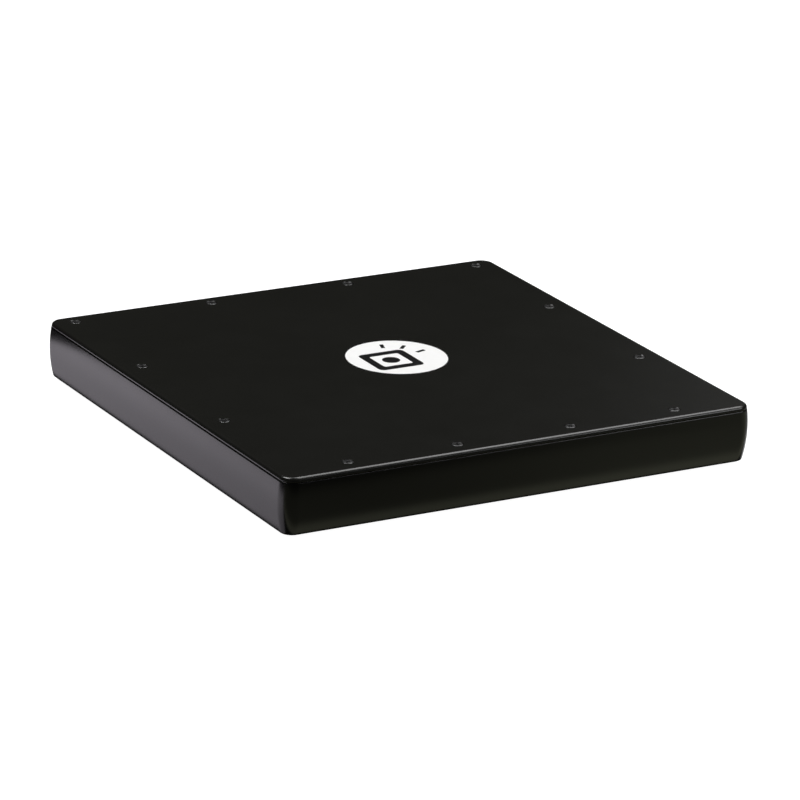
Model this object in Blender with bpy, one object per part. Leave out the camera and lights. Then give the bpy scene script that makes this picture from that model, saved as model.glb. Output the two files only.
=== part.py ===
"""A slim square lap cajon.

Four bulging walls, mitred at the corners, carry a screwed playing plate (the tapa) on top and a
panel with a round sound hole underneath. Battens and corner blocks inside the walls take the
screws. Two sets of snare wires are screwed to a bar and lie close under the tapa.
Metres, +Z up. The origin is on the floor under the middle, and the player sits at -Y.
"""

from math import asin, cos, pi, sin, sqrt, tau

import bmesh
import bpy
from mathutils import Matrix, Vector

# ------------------------------------------------------------------ driving dimensions
GAP = 0.0003  # left between neighbouring pieces

SIDE = 0.390  # the square's side, over the bulge of the walls
FOOT_HEIGHT = 0.004
WALL_HEIGHT = 0.040

WALL_THICKNESS = 0.010  # at the widest line
BULGE_RADIUS = 0.100  # of the outer face, in section
BULGE_HEIGHT = 0.025  # of the widest line, above the wall's bottom edge
WALL_TOP_ROUND = 0.0008
WALL_BOTTOM_ROUND = 0.002
CORNER_RADIUS = 0.012  # of the vertical corners, in plan

TAPA_THICKNESS = 0.0032
TAPA_INSET = 0.0013  # from the widest line of the walls
TAPA_ROUND = 0.0029

PANEL_THICKNESS = 0.004
PANEL_CORNER_RADIUS = 0.001
SOUND_HOLE_RADIUS = 0.045
SOUND_HOLE_ROUND = 0.0012

BLOCK_LEG = 0.038
BLOCK_CHAMFER = 0.003
BATTEN_WIDTH = 0.016
BATTEN_HEIGHT = 0.012
WOOD_BEVEL = 0.0006

BADGE_RADIUS = 0.0392
BADGE_THICKNESS = 0.0003
BADGE_CENTRE = (0.007, 0.0075)

FOOT_RADIUS = 0.011
FOOT_ROUND = 0.001
FOOT_INSET = 0.026  # of the foot's centre, from the widest line of the walls

BAR_WIDTH = 0.020
BAR_HEIGHT = 0.012
BAR_Y = 0.030

STRAP_THICKNESS = 0.001
STRAP_WIDTH = 0.012
STRAP_EAR = 0.010  # each side of the wires
WIRE_COUNT = 8
WIRE_PITCH = 0.005
WIRE_RADIUS = 0.0011
WIRE_LENGTH = 0.120
WIRE_SUNK = 0.0005  # how deep the wires are soldered into the strap
SNARE_X = 0.038

DAMPER_LENGTH = 0.044
DAMPER_WIDTH = 0.014
DAMPER_X = 0.112

# A countersunk screw is (head radius, shank radius, length). The rim is the head's straight edge.
TAPA_SCREW = (0.0039, 0.0018, 0.018)
BACK_SCREW = (0.0035, 0.0016, 0.014)
FOOT_SCREW = (0.0035, 0.0016, 0.016)
SCREW_RIM = 0.0003
SCREW_TIP_RADIUS = 0.0004
SCREW_SINK = 0.00015  # how far a head lies below the surface around it
FOOT_SCREW_SINK = 0.0012
HEAD_CLEARANCE = 0.00035
RECESS_ARM = 0.0021
RECESS_BLADE = 0.00045
RECESS_DEPTH = 0.0018
RECESS_TAPER = 0.55
RECESS_TURN = 2.4  # each head is turned this much further than the one before

SNARE_SCREW_HEAD = 0.0027
SNARE_SCREW_HEAD_HEIGHT = 0.0013
SNARE_SCREW_SHANK = 0.0014
SNARE_SCREW_LENGTH = 0.009

# Screw places, from the middle of the plate. The two front corners are left free, to slap.
SCREW_X = 0.176
REAR_SCREWS_Y = 0.1805
FRONT_SCREWS_Y = -0.1775
REAR_SCREWS_X = (-SCREW_X, -0.060, 0.060, SCREW_X)
FRONT_SCREWS_X = (-0.136, -0.047, 0.047, 0.136)
SIDE_SCREWS_Y = (-0.065, 0.067)
BACK_SCREW_SPREAD = 0.075

ROUND_SIDES = 12  # of a screw
FOOT_SIDES = 24
BADGE_SIDES = 48
SOUND_HOLE_SIDES = 36
CORNER_STEPS = 6

# ------------------------------------------------------------------ heights and faces
HALF = SIDE / 2
WALL_BOTTOM = FOOT_HEIGHT
WALL_TOP = WALL_BOTTOM + WALL_HEIGHT
TAPA_BOTTOM = WALL_TOP + GAP
TAPA_TOP = TAPA_BOTTOM + TAPA_THICKNESS
PANEL_TOP = WALL_BOTTOM + PANEL_THICKNESS
WALL_FACE = HALF - WALL_THICKNESS  # the walls' inner faces, from the middle
BATTEN_OUT = WALL_FACE - GAP
BATTEN_IN = BATTEN_OUT - BATTEN_WIDTH
BATTEN_HALF_LENGTH = BATTEN_OUT - BLOCK_LEG - GAP

WIRE_HEIGHT = TAPA_BOTTOM - GAP - WIRE_RADIUS
STRAP_TOP = WIRE_HEIGHT - WIRE_RADIUS + WIRE_SUNK
STRAP_BOTTOM = STRAP_TOP - STRAP_THICKNESS
BAR_TOP = STRAP_BOTTOM - GAP
STRAP_HALF_LENGTH = (WIRE_COUNT - 1) * WIRE_PITCH / 2 + STRAP_EAR

QUARTER_TURN = pi / 2
UPSIDE_DOWN = Matrix.Rotation(pi, 4, "X")


# ------------------------------------------------------------------ materials
def make_material(name, colour, roughness, metallic=0.0):
    material = bpy.data.materials.new(name)
    material.use_nodes = True
    material.diffuse_color = (*colour, 1.0)
    shader = material.node_tree.nodes["Principled BSDF"]
    shader.inputs["Base Color"].default_value = (*colour, 1.0)
    shader.inputs["Roughness"].default_value = roughness
    shader.inputs["Metallic"].default_value = metallic
    return material


# ------------------------------------------------------------------ meshes
def circle(radius, height, sides=ROUND_SIDES):
    steps = [tau * i / sides for i in range(sides)]
    return [(radius * cos(a), radius * sin(a), height) for a in steps]


def rounded_square(half, radius, height):
    """The points of a square with round corners, anticlockwise seen from above."""
    centre = half - radius
    points = []
    for corner in range(4):
        for step in range(CORNER_STEPS + 1):
            angle = QUARTER_TURN * (corner + step / CORNER_STEPS)
            side_x = 1 if corner in (0, 3) else -1
            side_y = 1 if corner in (0, 1) else -1
            x = side_x * centre + radius * cos(angle)
            y = side_y * centre + radius * sin(angle)
            points.append((x, y, height))
    return points


def rectangle(low, high, height):
    return [
        (low[0], low[1], height),
        (high[0], low[1], height),
        (high[0], high[1], height),
        (low[0], high[1], height),
    ]


def skin(shape, rings, matrix=None):
    """Adds to the bmesh a closed body that runs through the rings, from the lowest up."""
    placed = matrix or Matrix.Identity(4)
    loops = []
    for ring in rings:
        loops.append([shape.verts.new(placed @ Vector(point)) for point in ring])
    for low, high in zip(loops, loops[1:]):
        for i in range(len(low)):
            j = (i + 1) % len(low)
            shape.faces.new((low[i], low[j], high[j], high[i]))
    shape.faces.new(reversed(loops[0]))
    shape.faces.new(loops[-1])


def as_mesh(name, shape):
    mesh = bpy.data.meshes.new(name)
    shape.to_mesh(mesh)
    shape.free()
    return mesh


def lofted(name, rings):
    shape = bmesh.new()
    skin(shape, rings)
    return as_mesh(name, shape)


def block(name, low, high):
    """A box with slightly broken edges, between two corners given as (x, y, z)."""
    shape = bmesh.new()
    skin(shape, [rectangle(low, high, low[2]), rectangle(low, high, high[2])])
    bmesh.ops.bevel(shape, geom=shape.edges[:], offset=WOOD_BEVEL, segments=1, affect="EDGES")
    return as_mesh(name, shape)


# ------------------------------------------------------------------ objects
def place(name, mesh, material, location=(0, 0, 0), turn=0.0):
    thing = bpy.data.objects.new(name, mesh)
    bpy.context.scene.collection.objects.link(thing)
    thing.location = location
    thing.rotation_euler = (0, 0, turn)
    if material and not mesh.materials:
        mesh.materials.append(material)
    return thing


def cutter(name, mesh):
    """A guide shape for Booleans, which isn't part of the cajon."""
    guide = place(name, mesh, None)
    guide.hide_render = True
    guide.display_type = "WIRE"
    return guide


def combine(thing, guide, operation="DIFFERENCE"):
    modifier = thing.modifiers.new(guide.name, "BOOLEAN")
    modifier.operation = operation
    modifier.solver = "EXACT"
    modifier.object = guide


def settled(thing):
    """Takes the object away and returns its mesh with the modifiers applied."""
    graph = bpy.context.evaluated_depsgraph_get()
    mesh = bpy.data.meshes.new_from_object(thing.evaluated_get(graph))
    mesh.name = thing.name
    bpy.data.objects.remove(thing)
    return mesh


def smooth(mesh, angle=0.6):
    mesh.shade_smooth()
    mesh.set_sharp_from_angle(angle=angle)


# ------------------------------------------------------------------ screws
def countersunk_rings(head, shank, length):
    """From the tip up to the head's flat, which is at height 0."""
    return [
        circle(SCREW_TIP_RADIUS, -length),
        circle(shank, -length + 2 * shank),
        circle(shank, shank - head - SCREW_RIM),
        circle(head, -SCREW_RIM),
        circle(head, 0),
    ]


def countersunk_room(head, shank, length, above):
    """The clear space around a countersunk screw, open for a distance above its head."""
    wide = head + HEAD_CLEARANCE
    narrow = shank + GAP
    return [
        circle(narrow, -length - GAP),
        circle(narrow, shank - head - SCREW_RIM - GAP),
        circle(wide, -SCREW_RIM),
        circle(wide, above),
    ]


def snare_screw_rings():
    """From the tip up to the top of the domed head, whose seat is at height 0."""
    head = SNARE_SCREW_HEAD
    return [
        circle(SCREW_TIP_RADIUS, -SNARE_SCREW_LENGTH),
        circle(SNARE_SCREW_SHANK, -SNARE_SCREW_LENGTH + 2 * SNARE_SCREW_SHANK),
        circle(SNARE_SCREW_SHANK, 0),
        circle(head, 0),
        circle(head, SNARE_SCREW_HEAD_HEIGHT * 0.45),
        circle(head * 0.86, SNARE_SCREW_HEAD_HEIGHT * 0.8),
        circle(head * 0.55, SNARE_SCREW_HEAD_HEIGHT),
    ]


def snare_screw_room():
    narrow = SNARE_SCREW_SHANK + GAP
    return [circle(narrow, -SNARE_SCREW_LENGTH - GAP), circle(narrow, SNARE_SCREW_HEAD_HEIGHT / 2)]


def cross(arm, blade, height):
    """A plus sign with four arms, anticlockwise seen from above."""
    points = []
    for quarter in range(4):
        turn = Matrix.Rotation(quarter * QUARTER_TURN, 4, "Z")
        for x, y in ((arm, -blade), (arm, blade), (blade, blade)):
            points.append(tuple(turn @ Vector((x, y, height))))
    return points


def screw_mesh(name, rings, depth):
    """A screw with a cross recess sunk to the depth given, below the top of its head."""
    top = rings[-1][0][2]
    body = place(name, lofted(name, rings), None)
    small = RECESS_TAPER
    recess = lofted(
        name + "_recess",
        [
            cross(RECESS_ARM * small, RECESS_BLADE * small, top - depth),
            cross(RECESS_ARM, RECESS_BLADE, top + depth * 0.02),
            cross(RECESS_ARM, RECESS_BLADE, top + depth),
        ],
    )
    guide = cutter(name + "_recess", recess)
    combine(body, guide)
    mesh = settled(body)
    bpy.data.objects.remove(guide)
    smooth(mesh)
    return mesh


def tapa_screw_places():
    """Round the plate, clockwise from the rear left corner."""
    rear = [(x, REAR_SCREWS_Y) for x in REAR_SCREWS_X]
    right = [(SCREW_X, y) for y in reversed(SIDE_SCREWS_Y)]
    front = [(x, FRONT_SCREWS_Y) for x in reversed(FRONT_SCREWS_X)]
    left = [(-SCREW_X, y) for y in SIDE_SCREWS_Y]
    height = TAPA_TOP - SCREW_SINK
    return [(x, y, height) for x, y in rear + right + front + left]


def back_screw_places():
    """Two through each back batten, midway across it."""
    middle = (BATTEN_OUT + BATTEN_IN) / 2
    height = WALL_BOTTOM + SCREW_SINK
    places = []
    for quarter in range(4):
        turn = Matrix.Rotation(quarter * QUARTER_TURN, 4, "Z")
        for along in (-BACK_SCREW_SPREAD, BACK_SCREW_SPREAD):
            places.append(tuple(turn @ Vector((along, -middle, height))))
    return places


def foot_places():
    out = HALF - FOOT_INSET
    return {
        "front_left": (-out, -out),
        "front_right": (out, -out),
        "rear_right": (out, out),
        "rear_left": (-out, out),
    }


def snare_screw_places():
    out = STRAP_HALF_LENGTH - STRAP_EAR / 2
    height = STRAP_TOP + GAP
    return [(side * SNARE_X + end * out, BAR_Y, height) for side in (-1, 1) for end in (-1, 1)]


def screw_room():
    """One guide holding the clear space around every screw."""
    shape = bmesh.new()
    through = TAPA_THICKNESS
    for point in tapa_screw_places():
        skin(shape, countersunk_room(*TAPA_SCREW, above=through), Matrix.Translation(point))
    for point in back_screw_places():
        room = countersunk_room(*BACK_SCREW, above=FOOT_HEIGHT / 2)
        skin(shape, room, Matrix.Translation(point) @ UPSIDE_DOWN)
    for x, y in foot_places().values():
        room = countersunk_room(*FOOT_SCREW, above=FOOT_HEIGHT)
        skin(shape, room, Matrix.Translation((x, y, FOOT_SCREW_SINK)) @ UPSIDE_DOWN)
    for point in snare_screw_places():
        skin(shape, snare_screw_room(), Matrix.Translation(point))
    return cutter("screw_room", as_mesh("screw_room", shape))


def add_screws(material):
    tapa_screw = screw_mesh("tapa_screw", countersunk_rings(*TAPA_SCREW), RECESS_DEPTH)
    for number, point in enumerate(tapa_screw_places(), 1):
        place(f"tapa_screw_{number:02d}", tapa_screw, material, point, number * RECESS_TURN)

    back_screw = screw_mesh("back_screw", countersunk_rings(*BACK_SCREW), RECESS_DEPTH)
    for number, point in enumerate(back_screw_places(), 1):
        screw = place(f"back_screw_{number:02d}", back_screw, material, point)
        screw.rotation_euler = (pi, 0, number * RECESS_TURN)

    foot_screw = screw_mesh("foot_screw", countersunk_rings(*FOOT_SCREW), RECESS_DEPTH)
    for number, (corner, (x, y)) in enumerate(foot_places().items(), 1):
        screw = place(f"foot_screw_{corner}", foot_screw, material, (x, y, FOOT_SCREW_SINK))
        screw.rotation_euler = (pi, 0, number * RECESS_TURN)


# ------------------------------------------------------------------ the box
def wall_section():
    """(inset, height) of the walls' outer face, from its bottom edge up to its top edge.

    The bulge is one arc about a point far inside. The small rounds touch it from within, so that
    the three arcs share a tangent where they meet.
    """
    below = BULGE_HEIGHT - WALL_BOTTOM_ROUND
    above = WALL_HEIGHT - BULGE_HEIGHT - WALL_TOP_ROUND
    inner_low = BULGE_RADIUS - WALL_BOTTOM_ROUND
    inner_high = BULGE_RADIUS - WALL_TOP_ROUND
    arcs = (
        # centre inset, centre height, radius, first angle, last angle, steps
        (
            BULGE_RADIUS - sqrt(inner_low**2 - below**2),
            WALL_BOTTOM_ROUND,
            WALL_BOTTOM_ROUND,
            -QUARTER_TURN,
            -asin(below / inner_low),
            4,
        ),
        (BULGE_RADIUS, BULGE_HEIGHT, BULGE_RADIUS, -asin(below / inner_low), asin(above / inner_high), 8),
        (
            BULGE_RADIUS - sqrt(inner_high**2 - above**2),
            WALL_HEIGHT - WALL_TOP_ROUND,
            WALL_TOP_ROUND,
            asin(above / inner_high),
            QUARTER_TURN,
            3,
        ),
    )
    section = []
    for inset, height, radius, first, last, steps in arcs:
        for step in range(steps + 1):
            angle = first + (last - first) * step / steps
            point = (inset - radius * cos(angle), height + radius * sin(angle))
            if not section or abs(point[1] - section[-1][1]) > 1e-6:
                section.append(point)
    return section


def add_walls(material):
    """One wall is cut from the whole bulging ring, and the four share its mesh."""
    rings = []
    for inset, height in wall_section():
        rings.append(rounded_square(HALF - inset, CORNER_RADIUS - inset, WALL_BOTTOM + height))
    wall = place("wall", lofted("wall", rings), None)

    below, above = WALL_BOTTOM - WALL_HEIGHT, WALL_TOP + WALL_HEIGHT
    inside = [rectangle((-WALL_FACE, -WALL_FACE), (WALL_FACE, WALL_FACE), z) for z in (below, above)]
    hollow = cutter("hollow", lofted("hollow", inside))
    combine(wall, hollow)

    apex = -GAP / sqrt(2)
    wedge = [[(0, apex, z), (-SIDE, apex - SIDE, z), (SIDE, apex - SIDE, z)] for z in (below, above)]
    mitre = cutter("mitre", lofted("mitre", wedge))
    combine(wall, mitre, "INTERSECT")

    mesh = settled(wall)
    smooth(mesh, 0.5)
    for guide in (hollow, mitre):
        bpy.data.objects.remove(guide)
    for quarter, name in enumerate(("front_wall", "right_wall", "rear_wall", "left_wall")):
        place(name, mesh, material, turn=quarter * QUARTER_TURN)


def add_tapa(material, room):
    """The playing plate, with its top edge rounded over and countersunk holes."""
    half = HALF - TAPA_INSET
    radius = CORNER_RADIUS - TAPA_INSET
    rings = [rounded_square(half, radius, TAPA_BOTTOM)]
    steps = 6
    for step in range(steps + 1):
        angle = QUARTER_TURN * step / steps
        inset = TAPA_ROUND * (1 - cos(angle))
        height = TAPA_TOP - TAPA_ROUND * (1 - sin(angle))
        rings.append(rounded_square(half - inset, radius - inset, height))
    mesh = lofted("tapa", rings)
    smooth(mesh, 0.5)
    combine(place("tapa", mesh, material), room)


def add_back_panel(material, room):
    """Lies flush between the walls, and has a round sound hole with softened edges."""
    half = WALL_FACE - GAP
    faces = [rounded_square(half, PANEL_CORNER_RADIUS, z) for z in (WALL_BOTTOM, PANEL_TOP)]
    panel = place("back_panel", lofted("back_panel", faces), material)

    steps = 3
    flare = []
    for step in range(steps + 1):
        angle = QUARTER_TURN * step / steps
        flare.append((SOUND_HOLE_ROUND * (1 - sin(angle)), SOUND_HOLE_ROUND * (1 - cos(angle))))
    wide = SOUND_HOLE_ROUND
    outline = [(wide, WALL_BOTTOM - PANEL_THICKNESS)]
    outline += [(out, WALL_BOTTOM + up) for out, up in flare]
    outline += [(out, PANEL_TOP - up) for out, up in reversed(flare)]
    outline.append((wide, PANEL_TOP + PANEL_THICKNESS))
    rings = [circle(SOUND_HOLE_RADIUS + out, height, SOUND_HOLE_SIDES) for out, height in outline]
    combine(panel, cutter("sound_hole", lofted("sound_hole", rings)))
    combine(panel, room)


def add_corner_blocks(material, room):
    """Triangular posts between the back panel and the tapa."""
    out = BATTEN_OUT
    tip = out - BLOCK_LEG
    outline = [(tip, out), (out, tip), (out, out - BLOCK_CHAMFER), (out - BLOCK_CHAMFER, out)]
    rings = [[(x, y, z) for x, y in outline] for z in (PANEL_TOP + GAP, WALL_TOP)]
    mesh = lofted("corner_block", rings)
    for quarter, corner in enumerate(("rear_right", "rear_left", "front_left", "front_right")):
        post = place(f"corner_block_{corner}", mesh, material, turn=quarter * QUARTER_TURN)
        combine(post, room)


def add_battens(material, room):
    """Strips glued inside the walls, along the tapa above and along the back panel below."""
    low = PANEL_TOP + GAP
    levels = {"tapa_batten": (WALL_TOP - BATTEN_HEIGHT, WALL_TOP), "back_batten": (low, low + BATTEN_HEIGHT)}
    for kind, (bottom, top) in levels.items():
        mesh = block(
            kind,
            (-BATTEN_HALF_LENGTH, -BATTEN_OUT, bottom),
            (BATTEN_HALF_LENGTH, -BATTEN_IN, top),
        )
        for quarter, side in enumerate(("front", "right", "rear", "left")):
            strip = place(f"{kind}_{side}", mesh, material, turn=quarter * QUARTER_TURN)
            combine(strip, room)


def add_badge(material):
    """A thin printed disc that lies on the tapa."""
    edge = BADGE_THICKNESS * 0.4
    mesh = lofted(
        "badge",
        [
            circle(BADGE_RADIUS, 0, BADGE_SIDES),
            circle(BADGE_RADIUS, BADGE_THICKNESS - edge, BADGE_SIDES),
            circle(BADGE_RADIUS - edge, BADGE_THICKNESS, BADGE_SIDES),
        ],
    )
    smooth(mesh)
    place("badge", mesh, material, (*BADGE_CENTRE, TAPA_TOP + GAP))


def add_feet(material, room):
    """Low rubber discs, each with a hole for its screw, whose head stays clear of the floor."""
    rings = []
    steps = 3
    for step in range(steps + 1):
        angle = QUARTER_TURN * step / steps
        inset = FOOT_ROUND * (1 - sin(angle))
        rings.append(circle(FOOT_RADIUS - inset, FOOT_ROUND * (1 - cos(angle)), FOOT_SIDES))
    rings.append(circle(FOOT_RADIUS, FOOT_HEIGHT - GAP, FOOT_SIDES))
    mesh = lofted("foot", rings)
    smooth(mesh)
    for corner, (x, y) in foot_places().items():
        foot = place(f"foot_{corner}", mesh, material, (x, y, 0))
        combine(foot, room)


# ------------------------------------------------------------------ the snares
def add_snare_bar(material, room):
    half = BATTEN_IN - GAP
    mesh = block(
        "snare_bar",
        (-half, BAR_Y - BAR_WIDTH / 2, BAR_TOP - BAR_HEIGHT),
        (half, BAR_Y + BAR_WIDTH / 2, BAR_TOP),
    )
    combine(place("snare_bar", mesh, material), room)


def add_snare_sets(material, room):
    """Each set is a steel strap with a row of wires soldered on, which run towards the player."""
    half = (STRAP_HALF_LENGTH, STRAP_WIDTH / 2)
    strap_rings = [rectangle((-half[0], -half[1]), half, z) for z in (STRAP_BOTTOM, STRAP_TOP)]
    strap = place("snare_set", lofted("snare_set", strap_rings), None)

    shape = bmesh.new()
    back_end = STRAP_WIDTH * 0.3
    for number in range(WIRE_COUNT):
        x = (number - (WIRE_COUNT - 1) / 2) * WIRE_PITCH
        along = Matrix.Translation((x, back_end, WIRE_HEIGHT)) @ Matrix.Rotation(QUARTER_TURN, 4, "X")
        skin(shape, [circle(WIRE_RADIUS, 0, 8), circle(WIRE_RADIUS, WIRE_LENGTH, 8)], along)
    wires = cutter("wires", as_mesh("wires", shape))
    combine(strap, wires, "UNION")
    mesh = settled(strap)
    smooth(mesh)
    bpy.data.objects.remove(wires)
    for side, name in ((-1, "snare_set_left"), (1, "snare_set_right")):
        snares = place(name, mesh, material, (side * SNARE_X, BAR_Y, 0))
        combine(snares, room)


def add_snare_screws(material):
    mesh = screw_mesh("snare_screw", snare_screw_rings(), SNARE_SCREW_HEAD_HEIGHT * 0.7)
    for number, point in enumerate(snare_screw_places(), 1):
        place(f"snare_screw_{number}", mesh, material, point, number * RECESS_TURN)


def add_dampers(material):
    """Felt pads between the bar and the tapa, which keep the bar from buzzing."""
    half = (DAMPER_LENGTH / 2, DAMPER_WIDTH / 2)
    low = (-half[0], BAR_Y - half[1], BAR_TOP + GAP)
    high = (half[0], BAR_Y + half[1], TAPA_BOTTOM - GAP)
    mesh = block("damper", low, high)
    for side, name in ((-1, "damper_left"), (1, "damper_right")):
        place(name, mesh, material, (side * DAMPER_X, 0, 0))


def main():
    for thing in list(bpy.data.objects):
        bpy.data.objects.remove(thing)

    lacquer = make_material("black_lacquer", (0.010, 0.010, 0.011), 0.34)
    playing_face = make_material("tapa_lacquer", (0.013, 0.013, 0.013), 0.48)
    panel_paint = make_material("panel_paint", (0.016, 0.016, 0.016), 0.7)
    birch = make_material("birch", (0.62, 0.45, 0.27), 0.65)
    black_steel = make_material("black_steel", (0.03, 0.03, 0.032), 0.38, 0.9)
    bright_steel = make_material("bright_steel", (0.55, 0.55, 0.54), 0.28, 1.0)
    print_white = make_material("badge_print", (0.88, 0.88, 0.87), 0.45)
    rubber = make_material("foot_rubber", (0.02, 0.02, 0.02), 0.85)
    felt = make_material("felt", (0.035, 0.035, 0.038), 0.95)

    room = screw_room()
    add_walls(lacquer)
    add_tapa(playing_face, room)
    add_back_panel(panel_paint, room)
    add_corner_blocks(birch, room)
    add_battens(birch, room)
    add_badge(print_white)
    add_feet(rubber, room)
    add_screws(black_steel)
    add_snare_bar(birch, room)
    add_snare_sets(bright_steel, room)
    add_snare_screws(bright_steel)
    add_dampers(felt)


main()
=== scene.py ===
"""The looks of a slim square lap cajon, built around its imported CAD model.

The four walls, the tapa, the back panel, the badge, the feet, the screws and the snares are built
again here with finer edges, threads, coils and finishes. The battens, the corner blocks, the snare
bar, the dampers and the snare screws keep their CAD shape and get better materials.
"""

from math import asin, cos, floor, pi, radians, sin, sqrt, tau

import bmesh
import bpy
from mathutils import Matrix, Quaternion, Vector


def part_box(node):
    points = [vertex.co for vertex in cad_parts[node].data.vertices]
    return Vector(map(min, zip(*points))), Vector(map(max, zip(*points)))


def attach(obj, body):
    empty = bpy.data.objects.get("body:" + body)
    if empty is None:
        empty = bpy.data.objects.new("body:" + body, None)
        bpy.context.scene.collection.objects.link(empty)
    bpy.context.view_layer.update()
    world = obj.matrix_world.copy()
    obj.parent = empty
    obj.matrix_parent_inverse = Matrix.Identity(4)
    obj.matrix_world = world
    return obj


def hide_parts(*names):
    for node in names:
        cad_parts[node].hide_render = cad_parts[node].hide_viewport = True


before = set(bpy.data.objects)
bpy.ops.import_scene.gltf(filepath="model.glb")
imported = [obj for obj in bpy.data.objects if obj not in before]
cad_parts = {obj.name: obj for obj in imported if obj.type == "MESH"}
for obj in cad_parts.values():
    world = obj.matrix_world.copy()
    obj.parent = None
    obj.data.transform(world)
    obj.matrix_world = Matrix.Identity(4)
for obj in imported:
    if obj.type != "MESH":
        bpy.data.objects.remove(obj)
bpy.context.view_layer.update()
scene = bpy.context.scene

BODY = "root"
QUARTER_TURN = pi / 2
UPSIDE_DOWN = Matrix.Rotation(pi, 4, "X")

# ------------------------------------------------------------------ places taken from the frame
tapa_low, tapa_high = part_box("tapa")
wall_low, wall_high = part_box("front_wall")
panel_low, panel_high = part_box("back_panel")
badge_low, badge_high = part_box("badge")
foot_low, foot_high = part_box("foot_front_left")

GAP = tapa_low.z - wall_high.z
HALF = -wall_low.y
WALL_BOTTOM = wall_low.z
WALL_TOP = wall_high.z
WALL_FACE = panel_high.x + GAP
TAPA_HALF = tapa_high.x

# ------------------------------------------------------------------ shapes, in metres
BULGE_RADIUS = 0.100
BULGE_HEIGHT = 0.025  # of the widest line, above the wall's bottom edge
WALL_TOP_ROUND = 0.0012
WALL_BOTTOM_ROUND = 0.002
CORNER_RADIUS = 0.012  # of the walls, in plan
TAPA_ROUND = 0.0029
SAME_PLACE = 1e-6
PANEL_CORNER_RADIUS = 0.001
SOUND_HOLE_RADIUS = 0.045
SOUND_HOLE_ROUND = 0.0012
BADGE_RIM = 0.0007
BADGE_FILM = 0.00022  # thickness of the disc
INK = 0.00003  # height of the print above it
INK_ROOT = 0.00004  # depth of the print inside it

BROKEN_EDGE = 0.00012
HEAD_CLEARANCE = 0.00035
SCREW_SINK = 0.00015
FOOT_SCREW_SINK = 0.0012
SCREW_RIM = 0.0003
TAPA_LIP = 0.00035  # softened edge round each screw of the tapa
RECESS_ARM = 0.0025
RECESS_BLADE = 0.00062
RECESS_DEPTH = 0.0018
RECESS_TAPER = 0.55
RECESS_TURN = 2.4
THREAD_PITCH = 0.0016
THREAD_DEPTH = 0.0004

STRAP_WIDTH = 0.012
STRAP_THICKNESS = 0.001
STRAP_HALF_LENGTH = 0.0275
WIRE_COUNT = 8
WIRE_PITCH = 0.005
COIL_RADIUS = 0.0011  # outer
COIL_WIRE = 0.00024  # radius of the wire itself
COIL_PITCH = 0.0016
SNARE_SCREW_ROOM = 0.0017


# ------------------------------------------------------------------ materials
LACQUER_SPREAD = 0.02  # of the roughness, to either side
LACQUER_RELIEF = 0.00001  # of the orange peel, and of the grain under it


class Finish:
    """A node material built round one Principled shader, in the object's own coordinates."""

    def __init__(self, name, colour, roughness, **sockets):
        self.material = bpy.data.materials.new(name)
        self.material.use_nodes = True
        self.material.diffuse_color = (*colour, 1.0)
        self.tree = self.material.node_tree
        self.shader = self.tree.nodes["Principled BSDF"]
        self.set("Base Color", (*colour, 1.0))
        self.set("Roughness", roughness)
        for socket, value in sockets.items():
            self.set(socket.replace("_", " "), value)
        self.place = self.node("ShaderNodeTexCoord").outputs["Object"]
        self.height = None

    def set(self, socket, value):
        self.shader.inputs[socket].default_value = value

    def node(self, kind, **settings):
        made = self.tree.nodes.new(kind)
        for key, value in settings.items():
            setattr(made, key, value)
        return made

    def join(self, output, target):
        self.tree.links.new(output, target)

    def stretched(self, scale):
        mapping = self.node("ShaderNodeMapping")
        mapping.inputs["Scale"].default_value = scale
        self.join(self.place, mapping.inputs["Vector"])
        return mapping.outputs["Vector"]

    def noise(self, scale, detail=3.0, rough=0.5, place=None, distortion=0.0):
        made = self.node("ShaderNodeTexNoise")
        made.inputs["Scale"].default_value = scale
        made.inputs["Detail"].default_value = detail
        made.inputs["Roughness"].default_value = rough
        made.inputs["Distortion"].default_value = distortion
        self.join(place or self.place, made.inputs["Vector"])
        return made.outputs["Fac"]

    def span(self, value, low, high, start=0.0, end=1.0):
        """Maps start..end of a value to low..high, and holds it there outside."""
        made = self.node("ShaderNodeMapRange")
        ends = {"From Min": start, "From Max": end, "To Min": low, "To Max": high}
        for socket, number in ends.items():
            made.inputs[socket].default_value = number
        self.join(value, made.inputs["Value"])
        return made.outputs["Result"]

    def combine(self, first, second, operation="ADD"):
        made = self.node("ShaderNodeMath", operation=operation)
        for output, target in ((first, made.inputs[0]), (second, made.inputs[1])):
            if isinstance(output, (int, float)):
                target.default_value = output
            else:
                self.join(output, target)
        return made.outputs[0]

    def axis(self, name):
        made = self.node("ShaderNodeSeparateXYZ")
        self.join(self.place, made.inputs[0])
        return made.outputs[name]

    def blend(self, factor, first, second):
        """Mixes two colours, each a triple or a socket."""
        made = self.node("ShaderNodeMix", data_type="RGBA")
        self.join(factor, made.inputs[0])
        for value, target in ((first, made.inputs[6]), (second, made.inputs[7])):
            if isinstance(value, tuple):
                target.default_value = (*value, 1.0)
            else:
                self.join(value, target)
        return made.outputs[2]

    def colour(self, output):
        self.join(output, self.shader.inputs["Base Color"])

    def tint(self, value, start, end, first, second):
        """Colours the surface from first to second as a value goes from start to end."""
        self.colour(self.blend(self.span(value, 0.0, 1.0, start, end), first, second))

    def roughness(self, output):
        self.join(output, self.shader.inputs["Roughness"])

    def bump(self, height, distance, strength=1.0):
        """Adds a height, in metres from 0 to 1 of the value, on top of what is there."""
        made = self.node("ShaderNodeBump")
        made.inputs["Strength"].default_value = strength
        made.inputs["Distance"].default_value = distance
        self.join(height, made.inputs["Height"])
        if self.height:
            self.join(self.height, made.inputs["Normal"])
        self.height = made.outputs["Normal"]
        self.join(self.height, self.shader.inputs["Normal"])


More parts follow.
